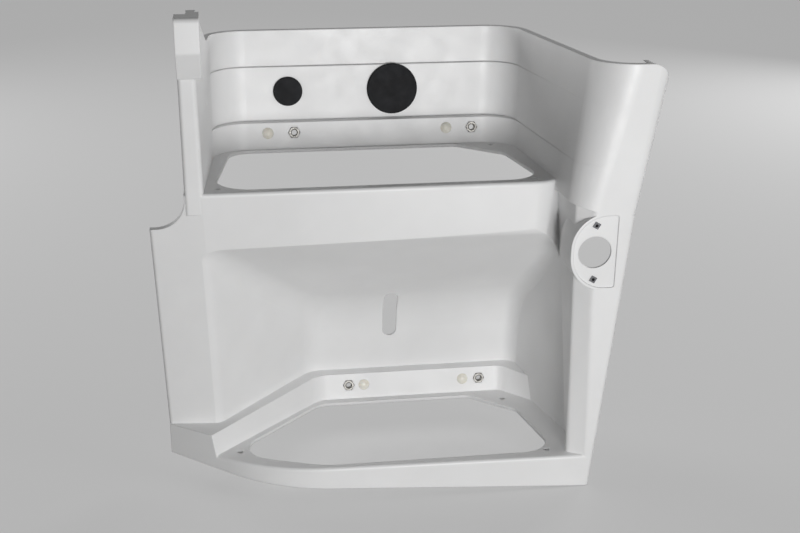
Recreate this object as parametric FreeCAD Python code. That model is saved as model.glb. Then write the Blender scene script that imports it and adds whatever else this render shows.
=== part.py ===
import FreeCAD, Part
import math
import os

os.makedirs("parts", exist_ok=True)

V = FreeCAD.Vector

# Cab step of a lorry: one white moulded shell with two open treads, closed by two black caps,
# four hexagon nuts, four round plugs and two square clip nuts.
# Built in millimetres. X runs across the step, Y from the front to the back, Z up.
# While it is built, Z = 0 is the top of the lower tread and Y = 0 the front of the upper opening.

# Overall heights and depths.
wall = 4.0                    # wall thickness of the moulded shell
tread_rise = 330.0            # height from the lower tread to the upper tread
rim_height = tread_rise + 146.0   # top rim of the back wall above the lower tread
hook_top = rim_height + 54.0  # top of the hook at the left post
back_depth = 222.0            # how far back the shell reaches
clear = 300.0                 # rough cutting outlines run out this far in front and beside
reach = 600.0                 # rough cutting blocks reach this far
smallest_radius = 5.5         # outer corners under this radius stay sharp on the inner face
far = 400.0                   # end of the rough blocks behind the shell

# Front skirt below the lower tread.
skirt_front = -47.0           # front face of the skirt at tread height, left end
skirt_bend_x = -119.0         # where the skirt starts to sweep back to the left
skirt_bend_radius = 210.0
skirt_left_x = -242.0         # left end of the swept skirt
skirt_left_y = 41.0
rim_drop = 29.0               # depth of the bottom rim below the tread, near the middle
rim_middle_x = -33.0          # the point where that depth is measured
rim_middle_y = -52.0
rim_cross_slope = 0.045       # bottom rim falls this much for each millimetre to the right
rim_back_slope = 0.10         # bottom rim rises this much for each millimetre to the back

# Left panel, post and fascia.
panel_left_x = -241.3         # left edge of the panel at tread height
panel_left_lean = 0.0267      # widening of the panel for each millimetre up
panel_right_x = -180.5        # where the panel meets the toe recess
panel_right_lean = 0.0267
panel_foot_y = 34.0           # front face of the panel at its foot
panel_foot_z = 28.0
panel_turn = 6.0              # the left edge stands this much further back
panel_edge_radius = 4.0
fascia_y = -13.0              # front face of the fascia under the upper tread
fascia_right_x = 211.0        # right end of the fascia
fascia_right_lean = 0.12
fascia_height = 60.0
fascia_end_radius = 26.0
post_left_x = -208.0
post_edge_radius = 5.0
notch_z = tread_rise - 42.0   # shoulder of the panel below the post
notch_radius = 34.0

# Toe recess under the fascia.
riser_foot_y = back_depth - 59.0   # foot of the riser at the back of the lower tread
riser_foot_z = 34.0
riser_lean = math.tan(math.radians(6.0))
recess_bend_y = riser_foot_y - 11.0   # where the riser turns into the overhang
recess_bend_z = 0.4 * tread_rise
recess_bend_radius = 100.0
fascia_bottom_z = tread_rise - fascia_height
fascia_bottom_radius = 18.0
recess_side_slope = 1.094     # direction of the slanting left side of the recess
recess_side_radius = 18.0
recess_corner_radius = 34.0   # soft inner corner between slanting side and riser
recess_right_radius = 20.0    # soft inner corner between riser and column
fascia_edge_radius = 4.0      # rounded front edge of the upper tread
skirt_edge_radius = 3.5       # rounded front edge of the lower tread

# Bands and ledges around the treads.
ledge_front_z = 27.0
ledge_front_y = 4.0
ledge_slope = 0.044
band_draft = 0.156            # the bands lean back this much for each millimetre up
lower_band_y = back_depth - 80.0   # rear band of the lower tread
lower_band_left_x = -52.0     # its two ends, where it turns towards the sides
lower_band_left_radius = 30.0
lower_band_left_slope = 1.03  # the left band runs slantwise to the front
lower_band_right_x = 188.0
lower_band_right_radius = 14.0
valley_x = 222.0              # inner wall of the column beside the fascia
valley_y = 8.0
lower_band_side_x = valley_x  # the short right band ends at the column
lower_band_side_y = lower_band_y - 38.0
upper_band_y = back_depth - 36.0   # rear band of the upper tread
upper_band_height = 33.0
upper_wall_y = back_depth - 19.0   # back wall above the upper band
crease_z = tread_rise + 101.0   # level where the back wall steps back again
crease_step = 4.0

# Right column and flared wall.
column_front = -58.0          # front face of the column at tread height
column_lean = 0.065           # the column leans forward this much for each millimetre up
column_edge_x = 262.0         # right edge at tread height
column_edge_lean = 0.091
flare_edge_lean = 0.1754      # the right edge leans more along the flared wall
column_nose_x = 229.0
column_nose_y = -46.0
column_face_x = 251.5
column_edge_radius = 6.0
recess_wall_x = 210.0         # inner wall of the column at the riser
flare_foot_left_x = 205.0     # the flared wall comes down to a line that falls to the right
flare_foot_left_z = tread_rise - 9.0
flare_foot_right_z = tread_rise - 25.0
well_left_rear_x = -172.0
well_left_slope = 0.0694      # the left wall of the well runs out towards the front
well_right_rear_x = 203.0
well_left_radius = 44.0
well_right_radius = 42.0
flare_front_x = 221.0         # where the flared wall turns to the front, at tread height
flare_front_lean = 0.145
flare_front_radius = 33.0     # soft turn to the front, growing towards the rim
flare_front_growth = 0.11
flare_edge_radius = 7.2       # right edge at the foot of the flare, softer towards the rim
flare_edge_growth = 0.045

# Rim: level at the back, swept up to the hook at the left.
rim_rise_y = 130.0            # where the rim starts to rise to the hook
rim_rise_radius = 60.0
hook_rear_y = 2.0             # rear end of the hook's top
hook_forward = 18.0
hook_face_low = hook_top - 37.0
hook_root = hook_top - 66.0
hook_right_x = -182.0
post_radius_space = 32.0      # the rim may rise to the hook this far to the right of it
rim_flange = 8.0              # width of the edge turned back along the top rim
rim_corner_radius = 22.0      # rounded top right corner
return_depth = 9.0            # edge turned back along the left side
right_return_y = -25.0        # end of the edge turned back along the right side
right_web_front_x = 264.0     # the column is open behind this slanting line
right_web_rear_x = 234.0
right_web_rear_y = back_depth - 32.0
post_depth = 12.0             # the rim stays closed in front of this depth at the hook

# Openings of the two treads as corners (x, y, radius), and their screw holes.
lower_opening = [
    (-62.0, -40.0, 90.0),
    (220.0, -40.0, 32.0),
    (198.0, lower_band_y - 62.0, 12.0),
    (145.0, lower_band_y - 11.0, 12.0),
    (-54.0, lower_band_y - 11.0, 25.0),
    (-173.0, 5.0, 34.0),
]
upper_opening = [
    (-178.0, 0.0, 42.0),
    (204.0, 0.0, 36.0),
    (185.0, upper_band_y - 55.0, 12.0),
    (132.0, upper_band_y - 3.0, 12.0),
    (-154.0, upper_band_y - 3.0, 28.0),
]
lower_screws = ((-159.0, 9.0), (209.0, -36.0), (187.0, lower_band_y - 28.0))
upper_screws = ((-171.0, 7.0), (193.0, 3.0), (176.0, upper_band_y - 14.0))
tread_screw_radius = 3.5
slot_x = 42.5
slot_bottom_z = 81.0
slot_top_z = 149.0
slot_width = 18.0
wall_hole_y = 100.0           # small hole in the left wall above the upper tread
wall_hole_z = tread_rise + 79.0
wall_hole_radius = 3.5

# Lamp seat on the column.
lamp_x = 245.0
lamp_z = tread_rise - 68.0
lamp_hole_radius = 19.0
boss_left_x = 217.0
boss_right_x = 268.0
boss_half_height = 47.0
boss_radius = 42.0
boss_back_y = -30.0
pad_depth = 1.4
pad_margin = 3.5
pad_right_x = 270.0
clip_nut_spacing = 65.0       # distance between the two square clip nuts
clip_nut_side = 7.0
clip_nut_head = 1.2
clip_nut_body = 5.8
clip_nut_length = 11.0
clip_nut_fit = 0.1
clip_nut_turn = 30.0
clip_nut_bore_radius = 1.75

# Black caps in the back wall.
cap_z = tread_rise + 70.0
large_cap_x = 53.0
large_cap_radius = 32.0
small_cap_x = -79.0
small_cap_radius = 18.3
cap_lip = 4.0                 # overlap of the cap on the wall around its hole
cap_height = 4.0
cap_skirt = 12.0
cap_fit = 0.2
cap_edge_radius = 1.8

# Nuts and plugs in the bands.
nut_flats = 13.0
nut_bore_radius = 3.4
nut_height = 7.0
nut_proud = 1.2
nut_fit = 0.05
plug_radius = 7.2
plug_height = 3.4
plug_stem_radius = 4.0
plug_stem_length = 9.0
upper_fixing_z = tread_rise + 20.0
upper_nut_x = (-73.0, 154.0)
upper_plug_x = (-106.0, 121.0)
lower_fixing_z = 18.0
lower_nut_x = (-13.0, 161.0)
lower_plug_x = (7.0, 139.0)


# Simple straight-line sizes that change with height.
def panel_y(z):
    slope = (panel_foot_y - fascia_y) / (tread_rise - panel_foot_z)
    return panel_foot_y - (z - panel_foot_z) * slope


def panel_left(z):
    return panel_left_x - panel_left_lean * z


def panel_right(z):
    return panel_right_x - panel_right_lean * z


def column_y(z):
    return column_front - column_lean * z


def column_right(z):
    return column_edge_x + column_edge_lean * z


def flare_right(z):
    foot = flare_foot_right_z
    return column_right(foot) + flare_edge_lean * (z - foot)


def valley(z):
    return valley_x + (tread_rise - z) * 0.068


def band_shift(z):
    return band_draft * z


# A closed outline: each corner is (x, y, radius), given anticlockwise.
def moved_outline(corners, d):
    count = len(corners)
    result = []
    for i in range(count):
        ax, ay, ar = corners[i - 1]
        bx, by, br = corners[i]
        cx, cy, cr = corners[(i + 1) % count]
        u = V(bx - ax, by - ay, 0).normalize()
        w = V(cx - bx, cy - by, 0).normalize()
        nu = V(-u.y, u.x, 0)
        nw = V(-w.y, w.x, 0)
        turn = u.x * w.y - u.y * w.x
        if abs(turn) < 1e-6:
            point = V(bx, by, 0) + nu * d
        else:
            point = V(bx, by, 0) + (nu + nw) * (d / (1 + nu.dot(nw)))
        radius = br
        if br > 0 and turn > 0:
            radius = br - d
        if br > 0 and turn < 0:
            radius = br + d
        if d > 0 and turn > 0 and br < smallest_radius:
            radius = 0.0
        result.append((point.x, point.y, radius))
    return result


def outline_wire(corners, place):
    count = len(corners)
    edges = []
    start_points = []
    end_points = []
    middles = []
    for i in range(count):
        before = V(corners[i - 1][0], corners[i - 1][1], 0)
        here = V(corners[i][0], corners[i][1], 0)
        after = V(corners[(i + 1) % count][0], corners[(i + 1) % count][1], 0)
        radius = corners[i][2]
        if radius <= 0:
            start_points.append(here)
            end_points.append(here)
            middles.append(None)
            continue
        u = (before - here).normalize()
        w = (after - here).normalize()
        half = u.getAngle(w) / 2
        reach = radius / math.tan(half)
        centre = here + (u + w).normalize() * (radius / math.sin(half))
        start_points.append(here + u * reach)
        end_points.append(here + w * reach)
        middles.append(centre + (here - centre).normalize() * radius)
    for i in range(count):
        if middles[i] is not None:
            arc = Part.Arc(place(start_points[i]), place(middles[i]), place(end_points[i]))
            edges.append(arc.toShape())
        following = start_points[(i + 1) % count]
        edges.append(Part.makeLine(place(end_points[i]), place(following)))
    return Part.Wire(edges)


def flat_wire(corners, z):
    return outline_wire(corners, lambda p: V(p.x, p.y, z))


# One corner of an outline at its level: start of the arc, corner point, end of the arc
# and the weight that makes a three-point curve a true arc.
def corner_points(corners, i, z):
    before = V(corners[i - 1][0], corners[i - 1][1], z)
    here = V(corners[i][0], corners[i][1], z)
    after = V(corners[(i + 1) % len(corners)][0], corners[(i + 1) % len(corners)][1], z)
    radius = corners[i][2]
    if radius <= 0:
        return here, here, here, 1.0
    u = (before - here).normalize()
    w = (after - here).normalize()
    half = u.getAngle(w) / 2
    reach = radius / math.tan(half)
    return here + u * reach, here, here + w * reach, math.sin(half)


# A side between two levels: a true plane where its four corners allow it.
def side_face(a, b, c, d):
    normal = (b - a).cross(d - a)
    if abs((c - a).dot(normal)) / normal.Length < 1e-7:
        return Part.Face(Part.makePolygon([a, b, c, d, a]))
    surface = Part.BSplineSurface()
    surface.buildFromPolesMultsKnots(
        [[a, d], [b, c]], [2, 2], [2, 2], [0, 1], [0, 1], False, False, 1, 1)
    return surface.toShape()


def corner_face(low, high):
    poles = [[low[k], high[k]] for k in range(3)]
    weights = [[1, 1], [low[3], high[3]], [1, 1]]
    surface = Part.BSplineSurface()
    surface.buildFromPolesMultsKnots(
        poles, [3, 3], [2, 2], [0, 1], [0, 1], False, False, 2, 1, weights)
    return surface.toShape()


# The flat end of a body, from the corners of its outline.
def end_face(corners):
    edges = []
    for i in range(len(corners)):
        start, corner, end, weight = corners[i]
        if weight < 1:
            arc = Part.BSplineCurve()
            arc.buildFromPolesMultsKnots([start, corner, end], [3, 3], [0, 1], False, 2, [1, weight, 1])
            edges.append(arc.toShape())
        edges.append(Part.makeLine(end, corners[(i + 1) % len(corners)][0]))
    return Part.Face(Part.Wire(edges))


# A body between two levels, each level with its own outline.
def rise_body(low, low_z, high, high_z):
    count = len(low)
    below = [corner_points(low, i, low_z) for i in range(count)]
    above = [corner_points(high, i, high_z) for i in range(count)]
    faces = [end_face(below), end_face(above)]
    for i in range(count):
        if low[i][2] > 0:
            faces.append(corner_face(below[i], above[i]))
        k = (i + 1) % count
        faces.append(side_face(below[i][2], below[k][0], above[k][0], above[i][2]))
    skin = Part.makeShell(faces)
    skin.sewShape()
    body = Part.makeSolid(skin)
    if body.Volume < 0:
        body.reverse()
    return body.removeSplitter()


# A body with one outline in the side view (Y, Z), stretched across X.
def side_body(corners, x_from, x_to):
    wire = outline_wire(corners, lambda p: V(x_from, p.x, p.y))
    return Part.Face(wire).extrude(V(x_to - x_from, 0, 0))


# A body with one outline in the front view (X, Z), stretched along Y.
def front_body(corners, y_from, y_to):
    wire = outline_wire(corners, lambda p: V(p.x, y_from, p.y))
    return Part.Face(wire).extrude(V(0, y_to - y_from, 0))


# Outlines of the solid behind the visible faces; d moves every face inward.
def skirt_outline(z):
    lean = column_y(z) - column_y(0.0)
    return [
        (skirt_left_x, skirt_left_y + lean, 0.0),
        (skirt_bend_x, skirt_front + lean, skirt_bend_radius),
        (column_nose_x + 6.0, column_y(z), 0.0),
        (column_right(z), column_y(z), 0.0),
        (column_right(z), far, 0.0),
        (skirt_left_x, far, 0.0),
    ]


# The edges of a body that follow one leaning upright line, given as x and y at each height.
def leaning_edges(body, line_x, line_y):
    found = []
    for edge in body.Edges:
        middle = edge.valueAt((edge.FirstParameter + edge.LastParameter) / 2)
        upright = abs(edge.BoundBox.ZLength) > 0.9 * edge.Length
        near = math.hypot(middle.x - line_x(middle.z), middle.y - line_y(middle.z)) < 0.05
        if upright and near:
            found.append(edge)
    return found


# A body whose upper edge is rounded in three short steps; the inner body stays sharp.
def rounded_body(outline, low, high, d, radius):
    if d > 0:
        radius = 0.0
    body = rise_body(
        moved_outline(outline(low), d), low,
        moved_outline(outline(high - radius), d), high - radius,
    )
    if radius <= 0:
        return body
    for step in range(3):
        a = math.radians(30 * step)
        b = math.radians(30 * (step + 1))
        from_z = high - radius + radius * math.sin(a)
        to_z = high - radius + radius * math.sin(b)
        body = body.fuse(rise_body(
            moved_outline(outline(from_z), radius * (1 - math.cos(a))), from_z,
            moved_outline(outline(to_z), radius * (1 - math.cos(b))), to_z,
        ))
    return body


# The skirt with the tread floor on top, and the ledge that stands up around the tread.
def lower_block(d):
    low = -4.0 * rim_drop
    high = 1.5 * ledge_front_z
    base = rounded_body(skirt_outline, low, -d, d, skirt_edge_radius)
    ledge = rise_body(
        moved_outline(skirt_outline(low), d), low,
        moved_outline(skirt_outline(high), d), high,
    )
    ledge_rear_y = far + clear
    ledge_rear_z = ledge_front_z + ledge_slope * (ledge_rear_y - ledge_front_y)
    ledge_low_y = -clear
    ledge_low_z = ledge_front_z + ledge_slope * (ledge_low_y - ledge_front_y)
    above = side_body(
        [
            (ledge_low_y, ledge_low_z - d, 0),
            (ledge_rear_y, ledge_rear_z - d, 0),
            (ledge_rear_y, clear, 0),
            (ledge_low_y, clear, 0),
        ],
        -reach, reach,
    )
    return base.fuse(ledge.cut(above).cut(tread_space(d)))


def tread_outline(z):
    run = clear + lower_band_left_x
    corners = [
        (-clear, -clear, 0.0),
        (clear, -clear, 0.0),
        (clear, lower_band_side_y, 0.0),
        (lower_band_side_x, lower_band_side_y, 0.0),
        (lower_band_right_x, lower_band_y, lower_band_right_radius),
        (lower_band_left_x, lower_band_y, lower_band_left_radius),
        (-clear, lower_band_y - run * lower_band_left_slope, 0.0),
    ]
    return moved_outline(corners, -band_shift(z))


def tread_space(d):
    low = -2.0 * skirt_edge_radius - d
    high = 2.0 * ledge_front_z
    return rise_body(
        moved_outline(tread_outline(low), -d), low,
        moved_outline(tread_outline(high), -d), high,
    )


def body_outline(z):
    return [
        (panel_left(z), panel_y(z) + panel_turn, 0.0),
        (panel_right(z), panel_y(z), 0.0),
        (fascia_right_x - (tread_rise - z) * fascia_right_lean, fascia_y, fascia_end_radius),
        (valley(z) + 6.0, valley_y + 12.0, 0.0),
        (valley(z) + 6.0, far, 0.0),
        (panel_left(z), far, 0.0),
    ]


# The free space under the fascia: slanting side at the left, column wall at the right.
def column_wall_x(z, y):
    slope = (valley(z) - recess_wall_x) / (riser_foot_y - valley_y)
    return recess_wall_x + (riser_foot_y - y) * slope


def recess_side_x(z, y):
    return panel_right(z) + (y - recess_front(z)) / recess_side_slope


def recess_front(z):
    return panel_y(z) - 0.4


def recess_outline(z):
    rear = riser_foot_y + fascia_height
    overlap = 0.3
    return [
        (-clear, -clear, 0.0),
        (column_wall_x(z, -clear) + overlap, -clear, 0.0),
        (column_wall_x(z, rear) + overlap, rear, 0.0),
        (recess_side_x(z, rear), rear, 0.0),
        (panel_right(z), recess_front(z), recess_side_radius),
        (-clear, recess_front(z) + panel_turn * 2.0, 0.0),
    ]


# Edges of the recess that lie in one of its two upright side faces.
def side_edges(space, side_x, d):
    found = []
    for edge in space.Edges:
        middle = edge.valueAt((edge.FirstParameter + edge.LastParameter) / 2)
        if abs(middle.x - side_x(middle.z, middle.y)) > 0.65 * wall + 1.5 * d:
            continue
        front_y = recess_front(middle.z) + 1.4 * recess_side_radius
        rear_y = riser_foot_y + 0.9 * recess_corner_radius
        high_z = fascia_bottom_z + fascia_bottom_radius
        if front_y < middle.y < rear_y and 0.15 * riser_foot_z < middle.z < high_z:
            found.append(edge)
    return found


def recess_space(d):
    low = 0.0
    top = tread_rise - 0.42 * fascia_height
    high = tread_rise - 0.33 * fascia_height
    plan = rise_body(
        moved_outline(recess_outline(low), -d), low,
        moved_outline(recess_outline(high), -d), high,
    )
    drop = riser_foot_z + fascia_height
    profile = [
        (-clear, riser_foot_z - drop, 0.0),
        (riser_foot_y + drop * riser_lean, riser_foot_z - drop, 0.0),
        (recess_bend_y, recess_bend_z, recess_bend_radius),
        (fascia_y - 0.5, fascia_bottom_z, fascia_bottom_radius),
        (fascia_y - 0.9, top, 0.0),
        (-clear, top, 0.0),
    ]
    side = side_body(moved_outline(profile, -d), -reach, reach)
    space = plan.common(side)
    space = space.makeFillet(recess_corner_radius + d, side_edges(space, recess_side_x, d))
    return space.makeFillet(recess_right_radius + d, side_edges(space, column_wall_x, d))


def fascia_body(d):
    low = ledge_front_z - 7.0
    body = rounded_body(body_outline, low, tread_rise - d, d, fascia_edge_radius)
    body = body.cut(recess_space(d))
    notch = [
        (-far, notch_z, 0.0),
        (post_left_x, notch_z, notch_radius),
        (post_left_x - 2.0, tread_rise + fascia_height, 0.0),
        (-far, tread_rise + fascia_height, 0.0),
    ]
    body = body.cut(front_body(moved_outline(notch, -d), -clear, far + clear))
    if d > 0:
        return body
    panel_edges = leaning_edges(body, panel_left, lambda z: panel_y(z) + panel_turn)
    return body.makeFillet(panel_edge_radius, panel_edges)


def column_outline(z):
    slope = (valley(z) - recess_wall_x) / (riser_foot_y - valley_y)
    rear_x = recess_wall_x - (far - riser_foot_y) * slope
    return [
        (rear_x, far, 0.0),
        (valley(z), valley_y, 12.0),
        (column_nose_x - 0.015 * z, column_nose_y - 0.045 * z, 7.0),
        (column_face_x - 0.03 * z, column_y(z), 10.0),
        (column_right(z), column_y(z), 0.0),
        (column_right(z), far, 0.0),
    ]


# Everything below the falling line at which the flared wall ends and the column begins.
def below_flare(left_x, lift):
    corners = [
        (left_x, -reach, 0.0),
        (reach, -reach, 0.0),
        (reach, flare_foot_right_z + lift, 0.0),
        (column_edge_x, flare_foot_right_z + lift, 0.0),
        (flare_foot_left_x, flare_foot_left_z + lift, 0.0),
        (left_x, flare_foot_left_z + lift, 0.0),
    ]
    return front_body(corners, -reach, reach)


def column_body(d):
    low = -2.0 * skirt_edge_radius - d
    high = tread_rise - d
    body = rise_body(
        moved_outline(column_outline(low), d), low,
        moved_outline(column_outline(high), d), high,
    )
    if d > 0:
        return body
    return body.common(below_flare(-reach, 0.0))


def well_left_x(y):
    return well_left_rear_x - well_left_slope * (upper_wall_y - y)


def well_outline(z, back_y):
    up = z - tread_rise
    return [
        (post_left_x, panel_y(z), 0.0),
        (well_left_x(panel_y(z)), panel_y(z), 0.0),
        (well_left_x(back_y), back_y, well_left_radius),
        (well_right_rear_x + 0.02 * up, back_y, well_right_radius),
        (flare_front_x + flare_front_lean * up, column_y(z), flare_front_radius + flare_front_growth * up),
        (flare_right(z), column_y(z), flare_edge_radius + flare_edge_growth * (z - flare_foot_right_z)),
        (flare_right(z), far, 0.0),
        (post_left_x, far, 0.0),
    ]


def upper_band(z):
    return upper_band_y + band_draft * (z - tread_rise)


# The walls around the upper tread: the band, the wall above it and the stepped-back top.
def well_body(d):
    band_low = flare_foot_right_z + d
    band_top = tread_rise + upper_band_height - d
    crease = crease_z - d
    top = hook_top + 40.0
    high_wall_y = upper_wall_y + crease_step
    band = rise_body(
        moved_outline(well_outline(band_low, upper_band(band_low)), d), band_low,
        moved_outline(well_outline(band_top, upper_band(band_top)), d), band_top,
    )
    middle = rise_body(
        moved_outline(well_outline(band_top, upper_wall_y), d), band_top,
        moved_outline(well_outline(crease, upper_wall_y), d), crease,
    )
    upper = rise_body(
        moved_outline(well_outline(crease, high_wall_y), d), crease,
        moved_outline(well_outline(top, high_wall_y), d), top,
    )
    foot = below_flare(flare_foot_left_x - fascia_height / 10, d)
    walls = band.fuse([middle, upper]).cut(foot).removeSplitter()
    if d > 0:
        return walls
    outer_edges = leaning_edges(walls, lambda z: post_left_x, panel_y)
    walls = walls.makeFillet(post_edge_radius - 1.0, outer_edges)
    inner_edges = leaning_edges(walls, lambda z: well_left_x(panel_y(z)), panel_y)
    return walls.makeFillet(post_edge_radius, inner_edges)


# What is left of the walls below the rim: level at the back, rounded at the top right corner
# and rising to the hook at the left.
def below_top(d):
    low = notch_z - notch_radius
    high = hook_top + fascia_height
    right_of_hook = hook_right_x + post_radius_space
    front = [
        (-far, low, 0.0),
        (flare_right(low), low, 0.0),
        (flare_right(rim_height), rim_height, rim_corner_radius),
        (right_of_hook, rim_height, 0.0),
        (right_of_hook, high, 0.0),
        (-far, high, 0.0),
    ]
    side = [
        (-clear, low, 0.0),
        (far + wall, low, 0.0),
        (far + wall, rim_height, 0.0),
        (rim_rise_y, rim_height, rim_rise_radius),
        (hook_rear_y, hook_top, 8.0),
        (-clear, hook_top, 0.0),
    ]
    in_front = front_body(moved_outline(front, d), -reach, reach)
    at_side = side_body(moved_outline(side, d), -reach, reach)
    return in_front.common(at_side)


# The hook at the top of the post: a block that stands forward, with a sloping underside.
def hook_body(d):
    top_y = panel_y(hook_top)
    profile = [
        (top_y - hook_forward, hook_top, 5.0),
        (top_y - hook_forward, hook_face_low, 5.0),
        (top_y + 1.0, hook_root, 0.0),
        (top_y + 30.0, hook_root, 0.0),
        (top_y + 30.0, hook_top, 0.0),
    ]
    return side_body(moved_outline(profile, d), post_left_x + d, hook_right_x - d)


# The raised seat for the lamp, level with the leaning front of the column.
def boss_outline():
    low = lamp_z - boss_half_height
    high = lamp_z + boss_half_height
    return [
        (boss_left_x, low, boss_radius),
        (boss_right_x, low, 0.0),
        (boss_right_x, high, 0.0),
        (boss_left_x, high, boss_radius),
    ]


def behind_column_front(d):
    low = lamp_z - 2 * boss_half_height
    high = lamp_z + 2 * boss_half_height
    return side_body(
        [
            (column_y(low) + d, low, 0.0),
            (clear, low, 0.0),
            (clear, high, 0.0),
            (column_y(high) + d, high, 0.0),
        ],
        0.0, reach,
    )


def boss_body(d):
    block = front_body(moved_outline(boss_outline(), d), -clear, boss_back_y - d)
    return block.common(behind_column_front(d))


def solid_behind(d):
    low_part = lower_block(d).fuse(column_body(d)).removeSplitter()
    if d == 0:
        low_part = low_part.makeFillet(column_edge_radius, leaning_edges(low_part, column_right, column_y))
    walls = well_body(d).fuse(hook_body(d)).common(below_top(d))
    return low_part.fuse([fascia_body(d), walls, boss_body(d)])


# The moulded shell: skin between the outer solid and the same solid moved inward.
outer = solid_behind(0.0)
inner = solid_behind(wall)
shell = outer.cut(inner)


# Open back: only the skin of the visible faces and narrow edges turned back are kept.
def open_back():
    behind_all = Part.makeBox(2 * reach, reach, 2 * reach, V(-reach, back_depth, -clear))
    left_x = post_left_x + 3 * wall
    high = hook_top + clear
    left_profile = [
        (panel_y(-clear) + panel_turn + return_depth, -clear, 0.0),
        (reach, -clear, 0.0),
        (reach, high, 0.0),
        (panel_y(high) + panel_turn + return_depth, high, 0.0),
    ]
    left_gap = side_body(left_profile, -reach, left_x)
    gap = [
        (right_web_rear_x, right_web_rear_y, 0.0),
        (right_web_front_x, right_return_y, 0.0),
        (reach, right_return_y, 0.0),
        (reach, reach, 0.0),
        (right_web_rear_x, reach, 0.0),
    ]
    right_gap = rise_body(gap, -clear, gap, high)
    low = rim_height - wall - 3.0
    high = hook_top + 30.0
    rear_y = upper_wall_y + crease_step
    opening = rise_body(
        moved_outline(well_outline(low, rear_y), rim_flange), low,
        moved_outline(well_outline(high, rear_y), rim_flange), high,
    )
    behind_hook = Part.makeBox(2 * reach, reach, 2 * reach, V(-reach, post_depth, 0))
    right_side = Part.makeBox(reach, 2 * reach, 2 * reach, V(0, -clear, 0))
    opening = opening.common(behind_hook.fuse(right_side))
    return [behind_all, left_gap, right_gap, opening]


def rim_z(x, y):
    across = rim_cross_slope * (x - rim_middle_x)
    return -rim_drop - across + rim_back_slope * (y - rim_middle_y)


def below_rim():
    points = []
    for x, y in ((-reach, -reach), (reach, -reach), (reach, reach), (-reach, reach)):
        points.append(V(x, y, rim_z(x, y)))
    points.append(points[0])
    return Part.Face(Part.makePolygon(points)).extrude(V(0, 0, -reach))


shell = shell.cut(open_back() + [below_rim()])


# Openings of the two treads, with their screw holes.
def tread_holes(opening, screws, z):
    tools = [rise_body(opening, z - 3 * wall, opening, z + wall)]
    for x, y in screws:
        tools.append(Part.makeCylinder(tread_screw_radius, 4 * wall, V(x, y, z - 3 * wall)))
    return tools


shell = shell.cut(tread_holes(lower_opening, lower_screws, 0.0))
shell = shell.cut(tread_holes(upper_opening, upper_screws, tread_rise))

# Upright slot in the riser and small hole in the left wall.
half_slot = slot_width / 2
slot_outline = [
    (slot_x - half_slot, slot_bottom_z, half_slot - 0.1),
    (slot_x + half_slot, slot_bottom_z, half_slot - 0.1),
    (slot_x + half_slot, slot_top_z, half_slot - 0.1),
    (slot_x - half_slot, slot_top_z, half_slot - 0.1),
]
slot = front_body(slot_outline, riser_foot_y / 2, back_depth + wall)
wall_hole_start = V(post_left_x - wall, wall_hole_y, wall_hole_z)
wall_hole = Part.makeCylinder(wall_hole_radius, 15 * wall, wall_hole_start, V(1, 0, 0))
shell = shell.cut([slot, wall_hole])

# Lamp seat: shallow D-shaped pad, round hole and two square holes.
pad = moved_outline(boss_outline(), pad_margin)
pad = [
    (pad[0][0], pad[0][1], pad[0][2]),
    (pad_right_x, pad[1][1], 3.0),
    (pad_right_x, pad[2][1], 3.0),
    (pad[3][0], pad[3][1], pad[3][2]),
]
pad_block = front_body(pad, -clear, 0.0)
shell = shell.cut(pad_block.cut(behind_column_front(pad_depth)))


# A square bar along Y, turned about its own axis.
def square_bar(side, y_from, y_to):
    half = side / 2
    bar = Part.makeBox(side, y_to - y_from, side, V(-half, y_from, -half))
    bar.rotate(V(0, 0, 0), V(0, 1, 0), clip_nut_turn)
    return bar


# Places a piece made at the origin, facing forward, onto the leaning pad of the lamp seat.
def on_pad(shape, z):
    lean = math.degrees(math.atan(column_lean))
    shape.rotate(V(0, 0, 0), V(1, 0, 0), lean)
    shape.translate(V(lamp_x, column_y(z) + pad_depth, z))
    return shape


lamp_hole = Part.makeCylinder(lamp_hole_radius, 20.0 + 2 * wall, V(0, -20, 0), V(0, 1, 0))
shell = shell.cut(on_pad(lamp_hole, lamp_z))


# Places a piece made at the origin, facing forward, onto one of the leaning bands.
def on_band(shape, x, y, z):
    lean = math.degrees(math.atan(band_draft))
    shape.rotate(V(0, 0, 0), V(1, 0, 0), -lean)
    shape.translate(V(x, y, z))
    return shape


pieces = {}
for name, z in (
    ("clip_nut_upper", lamp_z + clip_nut_spacing / 2),
    ("clip_nut_lower", lamp_z - clip_nut_spacing / 2),
):
    clip_nut = square_bar(clip_nut_side, -clip_nut_head, 0.0)
    clip_nut = clip_nut.fuse(square_bar(clip_nut_body, -0.5, clip_nut_length))
    bore = Part.makeCylinder(clip_nut_bore_radius, 60.0, V(0, -30, 0), V(0, 1, 0))
    pieces[name] = on_pad(clip_nut.cut(bore), z)
    shell = shell.cut(on_pad(square_bar(clip_nut_body + 2 * clip_nut_fit, -clip_nut_length, 3 * wall), z))

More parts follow.
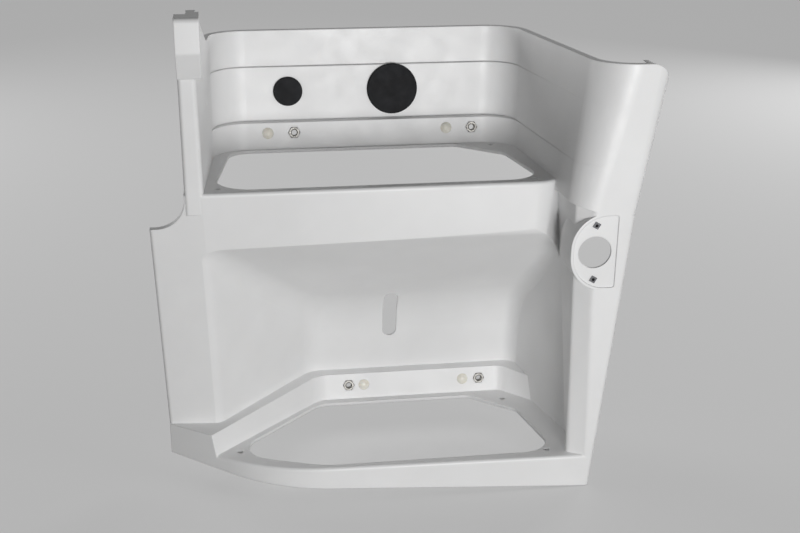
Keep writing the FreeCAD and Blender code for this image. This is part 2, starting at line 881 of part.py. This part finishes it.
# Round caps in the back wall.
for name, x, radius in (
    ("large_black_cap", large_cap_x, large_cap_radius),
    ("small_black_cap", small_cap_x, small_cap_radius),
):
    hole_radius = radius - cap_lip
    skirt_radius = hole_radius - cap_fit
    face = Part.makeCylinder(radius, cap_height, V(0, -cap_height, 0), V(0, 1, 0))
    front_edges = []
    for edge in face.Edges:
        if edge.Curve.TypeId == "Part::GeomCircle" and edge.Vertexes[0].Y < -cap_height / 2:
            front_edges.append(edge)
    face = face.makeFillet(cap_edge_radius, front_edges)
    skirt = Part.makeCylinder(skirt_radius, cap_skirt + 1.0, V(0, -1.0, 0), V(0, 1, 0))
    hollow = Part.makeCylinder(skirt_radius - 2.0, cap_skirt + 20.0, V(0, -cap_height + 2.0, 0), V(0, 1, 0))
    cap = face.fuse(skirt).cut(hollow)
    cap.translate(V(x, upper_wall_y, cap_z))
    pieces[name] = cap
    shell = shell.cut(Part.makeCylinder(hole_radius, 3 * wall, V(x, upper_wall_y - wall, cap_z), V(0, 1, 0)))


# Hexagon nuts and round plugs in the two bands.
def hexagon(flats, y_from, y_to):
    points = []
    for k in range(7):
        angle = math.radians(60 * k)
        reach = flats / 2 / math.cos(math.radians(30))
        points.append(V(reach * math.cos(angle), y_from, reach * math.sin(angle)))
    return Part.Face(Part.makePolygon(points)).extrude(V(0, y_to - y_from, 0))


def hex_nut():
    nut = hexagon(nut_flats, -nut_proud, nut_height - nut_proud)
    front_radius = nut_flats * 0.49
    taper = Part.makeCone(front_radius, front_radius + nut_height, nut_height, V(0, -nut_proud, 0), V(0, 1, 0))
    nut = nut.common(taper)
    bore = Part.makeCylinder(nut_bore_radius, 30.0, V(0, -15, 0), V(0, 1, 0))
    mouth = Part.makeCone(nut_bore_radius + 1.0, nut_bore_radius, 1.0, V(0, -nut_proud, 0), V(0, 1, 0))
    return nut.cut([bore, mouth])


def round_plug():
    sphere_radius = (plug_radius ** 2 + plug_height ** 2) / (2 * plug_height)
    dome = Part.makeSphere(sphere_radius, V(0, sphere_radius - plug_height, 0))
    front = Part.makeBox(60, 30, 60, V(-30, -30, -30))
    stem = Part.makeCylinder(plug_stem_radius - cap_fit, plug_stem_length, V(0, -0.5, 0), V(0, 1, 0))
    return dome.common(front).fuse(stem)


def lower_band(z):
    return lower_band_y + band_draft * z


for level, z, y, nuts, plugs in (
    ("upper", upper_fixing_z, upper_band(upper_fixing_z), upper_nut_x, upper_plug_x),
    ("lower", lower_fixing_z, lower_band(lower_fixing_z), lower_nut_x, lower_plug_x),
):
    for side, nut_x, plug_x in (("left", nuts[0], plugs[0]), ("right", nuts[1], plugs[1])):
        pieces["hex_nut_" + level + "_" + side] = on_band(hex_nut(), nut_x, y, z)
        shell = shell.cut(on_band(hexagon(nut_flats + 2 * nut_fit, -5.0, 3 * wall), nut_x, y, z))
        pieces["round_plug_" + level + "_" + side] = on_band(round_plug(), plug_x, y, z)
        stem_hole = Part.makeCylinder(plug_stem_radius, 20.0, V(0, -5.0, 0), V(0, 1, 0))
        shell = shell.cut(on_band(stem_hole, plug_x, y, z))

pieces["shell"] = shell

# The finished step stands with its lowest rim at zero height, centred on the origin.
box = shell.optimalBoundingBox(True, False)
shift = V(-box.Center.x, -box.Center.y, -box.ZMin)
for name, piece in pieces.items():
    piece.translate(shift)
    piece.exportStep("parts/" + name + ".step")
    print(name, piece.isValid(), len(piece.Solids), round(piece.Volume))
print("shift", shift, "size", box.XLength, box.YLength, box.ZLength)
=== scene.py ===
import math

import bpy
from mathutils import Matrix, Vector

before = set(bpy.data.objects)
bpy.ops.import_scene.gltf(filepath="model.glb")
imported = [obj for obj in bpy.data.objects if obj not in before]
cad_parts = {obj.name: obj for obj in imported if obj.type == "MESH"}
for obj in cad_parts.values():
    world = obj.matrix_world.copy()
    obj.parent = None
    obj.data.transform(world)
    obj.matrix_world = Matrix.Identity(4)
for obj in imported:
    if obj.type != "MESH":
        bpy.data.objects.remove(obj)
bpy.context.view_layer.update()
print("frame loaded")

millimetre = 0.001


def linear(code):  # an sRGB colour written as six hex digits, turned linear for the shader
    parts = [int(code[i:i + 2], 16) / 255 for i in (1, 3, 5)]
    return tuple(p / 12.92 if p <= 0.04045 else ((p + 0.055) / 1.055) ** 2.4 for p in parts) + (1.0,)


# Adds one node: its settings, then a value or another node's output for each named input.
def addNode(tree, kind, inputs=None, **settings):
    node = tree.nodes.new(kind)
    for name, value in settings.items():
        setattr(node, name, value)
    for key, value in (inputs or {}).items():
        if isinstance(value, bpy.types.NodeSocket):
            tree.links.new(value, node.inputs[key])
        else:
            node.inputs[key].default_value = value
    return node


def newMaterial(name):
    material = bpy.data.materials.new(name)
    material.use_nodes = True
    tree = material.node_tree
    tree.nodes.clear()
    return material, tree


# Noise whose patches are so many millimetres across, read in the part's own frame.
def patches(tree, size, detail=2.0, stretch=(1.0, 1.0, 1.0)):
    place = addNode(tree, "ShaderNodeTexCoord").outputs["Object"]
    scaled = addNode(tree, "ShaderNodeMapping", {"Vector": place, "Scale": stretch}).outputs["Vector"]
    noise = addNode(tree, "ShaderNodeTexNoise",
                    {"Vector": scaled, "Scale": 1 / (size * millimetre), "Detail": detail, "Roughness": 0.5})
    return noise.outputs["Fac"]


# Carries a noise value from its middle band on to the range from low to high.
def spread(tree, source, low, high, start=0.3, end=0.7):
    return addNode(tree, "ShaderNodeMapRange", {
        "Value": source, "From Min": start, "From Max": end, "To Min": low, "To Max": high,
    }).outputs["Result"]


# Colour that drifts between two tones.
def drift(tree, source, first, second, amount=1.0):
    share = spread(tree, source, 0.0, amount)
    return addNode(tree, "ShaderNodeMix", {0: share, 6: linear(first), 7: linear(second)},
                   data_type="RGBA").outputs[2]


# Height in millimetres laid over a normal that is already there.
def relief(tree, source, height, under=None):
    inputs = {"Height": source, "Strength": 1.0, "Distance": height * millimetre}
    if under is not None:
        inputs["Normal"] = under
    return addNode(tree, "ShaderNodeBump", inputs).outputs["Normal"]


# A normal that rounds every sharp edge by so many millimetres, over one that is already there.
def softEdges(tree, radius, samples=4, under=None):
    inputs = {"Radius": radius * millimetre}
    if under is not None:
        inputs["Normal"] = under
    return addNode(tree, "ShaderNodeBevel", inputs, samples=samples).outputs["Normal"]


def finishMaterial(tree, shader):
    addNode(tree, "ShaderNodeOutputMaterial", {"Surface": shader.outputs["BSDF"]})


def dress(names, material):  # gives CAD nodes a better material in their own slots
    for name in names:
        part = bpy.data.objects[name]
        for place in part.material_slots:
            place.material = material


camera = {
    "place": (-0.1990, -1.4589, 0.7584),
    "turn": 8.16,      # degrees to the right of straight ahead
    "down": 19.0,      # degrees below level
    "lens": 57.7,
    "sensor": 36.0,
    "nearest": 0.01,
    "farthest": 50.0,
}


def addCamera():
    data = bpy.data.cameras.new("photoCamera")
    data.lens = camera["lens"]
    data.sensor_width = camera["sensor"]
    data.clip_start = camera["nearest"]
    data.clip_end = camera["farthest"]
    eye = bpy.data.objects.new("photoCamera", data)
    bpy.context.scene.collection.objects.link(eye)
    turn, down = math.radians(camera["turn"]), math.radians(camera["down"])
    look = Vector((math.sin(turn) * math.cos(down), math.cos(turn) * math.cos(down), -math.sin(down)))
    eye.location = camera["place"]
    eye.rotation_mode = "QUATERNION"
    eye.rotation_quaternion = look.to_track_quat("-Z", "Y")
    bpy.context.scene.camera = eye


addCamera()
print("camera placed")


# Injection moulded white polypropylene. Slow clouds in the white and in the gloss, a soft
# orange peel and a fine grain keep the big faces from looking like paper, and softened edges look
# moulded.
shellLook = {
    "colour": "#EEEEEE",
    "shade": "#E8E8E8",
    "cloud": 90.0,        # patches of tone, millimetres
    "glossPatch": 26.0,
    "peel": 9.0,
    "peelHeight": 0.02,
    "grain": 1.8,         # the real grain is near 0.4 mm, drawn coarser so that the render holds it
    "grainHeight": 0.02,
    "smooth": 0.36,
    "rough": 0.47,
    "edge": 2.0,          # how far a sharp edge looks rounded, millimetres
}


def makeShell():
    look = shellLook
    material, tree = newMaterial("mouldedWhitePolypropylene")
    clouds = patches(tree, look["cloud"], 3.0)
    colour = drift(tree, clouds, look["colour"], look["shade"])
    gloss = spread(tree, patches(tree, look["glossPatch"], 4.0), look["smooth"], look["rough"])
    rounded = softEdges(tree, look["edge"], samples=8)
    peel = relief(tree, patches(tree, look["peel"], 1.0), look["peelHeight"], rounded)
    grain = relief(tree, patches(tree, look["grain"], 2.0), look["grainHeight"], peel)
    shader = addNode(tree, "ShaderNodeBsdfPrincipled", {
        "Base Color": colour, "Roughness": gloss, "Normal": grain, "IOR": 1.49,
        "Subsurface Weight": 0.06, "Subsurface Radius": (1.0, 0.9, 0.8), "Subsurface Scale": 0.002,
    })
    finishMaterial(tree, shader)
    return material


# Moulded black rubbery caps. Fine pebbles and a little grey bloom take the shine off the black.
capLook = {
    "colour": "#161618",
    "bloom": "#222326",
    "bloomPatch": 22.0,
    "glossPatch": 9.0,
    "pebble": 1.6,        # coarser than the real 0.5 mm so that it shows at all
    "pebbleHeight": 0.05,
    "smooth": 0.74,
    "rough": 0.86,
    "edge": 0.6,
}


def makeCap():
    look = capLook
    material, tree = newMaterial("mouldedBlackRubber")
    colour = drift(tree, patches(tree, look["bloomPatch"], 5.0), look["colour"], look["bloom"], 0.8)
    gloss = spread(tree, patches(tree, look["glossPatch"], 3.0), look["smooth"], look["rough"])
    rounded = softEdges(tree, look["edge"])
    pebbles = relief(tree, patches(tree, look["pebble"], 2.0), look["pebbleHeight"], rounded)
    shader = addNode(tree, "ShaderNodeBsdfPrincipled", {
        "Base Color": colour, "Roughness": gloss, "Normal": pebbles, "IOR": 1.52,
        "Specular IOR Level": 0.3,
    })
    finishMaterial(tree, shader)
    return material


# Natural nylon plugs. A creamy colour that lets a little light in makes them softer than the shell.
plugLook = {
    "colour": "#F0EDE3",
    "shade": "#E8E4D8",
    "tonePatch": 6.0,
    "glossPatch": 4.0,
    "grain": 1.2,
    "grainHeight": 0.015,
    "smooth": 0.24,
    "rough": 0.36,
}


def makePlug():
    look = plugLook
    material, tree = newMaterial("mouldedNaturalNylon")
    colour = drift(tree, patches(tree, look["tonePatch"], 3.0), look["colour"], look["shade"])
    gloss = spread(tree, patches(tree, look["glossPatch"], 3.0), look["smooth"], look["rough"])
    grain = relief(tree, patches(tree, look["grain"], 2.0), look["grainHeight"])
    shader = addNode(tree, "ShaderNodeBsdfPrincipled", {
        "Base Color": colour, "Roughness": gloss, "Normal": grain, "IOR": 1.53,
        "Subsurface Weight": 0.2, "Subsurface Radius": (1.0, 0.8, 0.6), "Subsurface Scale": 0.001,
    })
    finishMaterial(tree, shader)
    return material


# Machined steel nuts with dull zinc plating. Small dark spots and fine tool marks break up the
# bright metal.
nutLook = {
    "colour": "#9C9A96",
    "spot": "#5A5855",
    "spotPatch": 2.4,
    "glossPatch": 1.5,
    "smooth": 0.34,
    "rough": 0.56,
    "marks": 0.5,         # width of a tool mark, millimetres
    "markHeight": 0.02,
    "edge": 0.3,
}


def makeNut():
    look = nutLook
    material, tree = newMaterial("platedSteelNut")
    colour = drift(tree, patches(tree, look["spotPatch"], 4.0), look["colour"], look["spot"], 0.7)
    gloss = spread(tree, patches(tree, look["glossPatch"], 3.0), look["smooth"], look["rough"])
    streaks = patches(tree, look["marks"], 2.0, (1.0, 0.25, 1.0))
    rounded = softEdges(tree, look["edge"], under=relief(tree, streaks, look["markHeight"]))
    shader = addNode(tree, "ShaderNodeBsdfPrincipled", {
        "Base Color": colour, "Metallic": 1.0, "Roughness": gloss, "Normal": rounded,
    })
    finishMaterial(tree, shader)
    return material


# Pressed spring steel clip nuts, phosphated. A dark dull skin with brighter worn patches.
clipLook = {
    "colour": "#55565A",
    "worn": "#8A8A8A",
    "wornPatch": 3.0,
    "glossPatch": 2.0,
    "smooth": 0.38,
    "rough": 0.6,
    "pit": 0.7,
    "pitHeight": 0.02,
}


def makeClip():
    look = clipLook
    material, tree = newMaterial("phosphatedSpringSteel")
    colour = drift(tree, patches(tree, look["wornPatch"], 4.0), look["colour"], look["worn"], 0.6)
    gloss = spread(tree, patches(tree, look["glossPatch"], 3.0), look["smooth"], look["rough"])
    pits = relief(tree, patches(tree, look["pit"], 2.0), look["pitHeight"])
    shader = addNode(tree, "ShaderNodeBsdfPrincipled", {
        "Base Color": colour, "Metallic": 1.0, "Roughness": gloss, "Normal": pits,
    })
    finishMaterial(tree, shader)
    return material


dress(["shell"], makeShell())
dress(["large_black_cap", "small_black_cap"], makeCap())
seats = ["upper_left", "upper_right", "lower_left", "lower_right"]
dress(["round_plug_" + seat for seat in seats], makePlug())
dress(["hex_nut_" + seat for seat in seats], makeNut())
dress(["clip_nut_upper", "clip_nut_lower"], makeClip())
print("materials made")


# A soft box low in front gives most of the light, so that the upper tread lies in the shade of
# its own front edge. A weak lamp stands at the right, and two behind light the sides and the back.
# Each is given by its direction in degrees, its distance and width in metres and its share of full
# light.
lamps = {
    "frontLamp": {"turn": 7.0, "up": -1.0, "away": 1.8, "size": 0.5, "share": 0.64},
    "rightLamp": {"turn": 60.0, "up": 25.0, "away": 1.9, "size": 0.8, "share": 0.09},
    "backLeftLamp": {"turn": -135.0, "up": 14.0, "away": 3.0, "size": 1.1, "share": 0.28},
    "backRightLamp": {"turn": 135.0, "up": 14.0, "away": 3.0, "size": 1.1, "share": 0.28},
}
lampAim = Vector((0.0, 0.0, 0.3))


def addLamp(name, lamp):
    data = bpy.data.lights.new(name, "AREA")
    data.shape = "SQUARE"
    data.size = lamp["size"]
    data.energy = lamp["share"] * math.pi ** 2 * lamp["away"] ** 2  # full light shows white as white
    body = bpy.data.objects.new(name, data)
    bpy.context.scene.collection.objects.link(body)
    turn, up = math.radians(lamp["turn"]), math.radians(lamp["up"])
    back = Vector((math.sin(turn) * math.cos(up), -math.cos(turn) * math.cos(up), math.sin(up)))
    body.location = lampAim + back * lamp["away"]
    body.rotation_mode = "QUATERNION"
    body.rotation_quaternion = (-back).to_track_quat("-Z", "Y")


for lampName, lamp in lamps.items():
    addLamp(lampName, lamp)


# One where the eye looks, straight or through gloss and clear parts; nought for light on the object.
def seenRays(tree):
    path = addNode(tree, "ShaderNodeLightPath").outputs
    direct = addNode(tree, "ShaderNodeMath", {0: path["Is Camera Ray"], 1: path["Is Glossy Ray"]},
                     operation="MAXIMUM").outputs[0]
    return addNode(tree, "ShaderNodeMath", {0: direct, 1: path["Is Transmission Ray"]},
                   operation="MAXIMUM").outputs[0]


worldLook = {
    "seen": "#AAAAAA",
    "lit": 0.06,          # share of full light that it throws on the object
}


def addWorld():  # pale grey to the eye and to gloss, as the far floor is, and dim as light
    world = bpy.data.worlds.new("studioWorld")
    bpy.context.scene.world = world
    world.use_nodes = True
    tree = world.node_tree
    tree.nodes.clear()
    seen = seenRays(tree)
    dim = addNode(tree, "ShaderNodeBackground", {"Color": linear("#FFFFFF"), "Strength": worldLook["lit"]})
    pale = addNode(tree, "ShaderNodeBackground", {"Color": linear(worldLook["seen"]), "Strength": 1.0})
    mixed = addNode(tree, "ShaderNodeMixShader", {
        0: seen, 1: dim.outputs["Background"], 2: pale.outputs["Background"]})
    addNode(tree, "ShaderNodeOutputWorld", {"Surface": mixed.outputs["Shader"]})


addWorld()


# Pale to the eye, part lit and part glowing, so that the object's shadow stays on it.
floorLook = {
    "seen": "#8E8E8E",
    "glow": 0.38,
    "thrown": "#B4B4B2",  # what it throws back on the object
    "half": 15.0,
    "below": 0.0005,      # gap under the object, so that the two never flicker
}


def spareFloor(floor):  # the low lamp in front would burn a white patch into the floor beside it
    spared = bpy.data.collections.new("unlitByFrontLamp")
    spared.objects.link(floor)
    bpy.data.objects["frontLamp"].light_linking.receiver_collection = spared
    spared.collection_objects[0].light_linking.link_state = "EXCLUDE"


def addFloor():
    look = floorLook
    half = look["half"]
    mesh = bpy.data.meshes.new("studioFloor")
    corners = [(-half, -half, 0.0), (half, -half, 0.0), (half, half, 0.0), (-half, half, 0.0)]
    mesh.from_pydata(corners, [], [(0, 1, 2, 3)])
    floor = bpy.data.objects.new("studioFloor", mesh)
    bpy.context.scene.collection.objects.link(floor)
    floor.location.z = -look["below"]
    material, tree = newMaterial("paleFloor")
    seen = seenRays(tree)
    pale = addNode(tree, "ShaderNodeBsdfPrincipled", {
        "Base Color": linear(look["seen"]), "Roughness": 0.9, "Specular IOR Level": 0.2,
        "Emission Color": linear("#FFFFFF"), "Emission Strength": look["glow"]})
    dull = addNode(tree, "ShaderNodeBsdfDiffuse", {"Color": linear(look["thrown"])})
    mixed = addNode(tree, "ShaderNodeMixShader", {0: seen, 1: dull.outputs["BSDF"], 2: pale.outputs["BSDF"]})
    addNode(tree, "ShaderNodeOutputMaterial", {"Surface": mixed.outputs["Shader"]})
    mesh.materials.append(material)
    spareFloor(floor)


addFloor()
bpy.context.scene.view_settings.view_transform = "Standard"
print("studio lit")
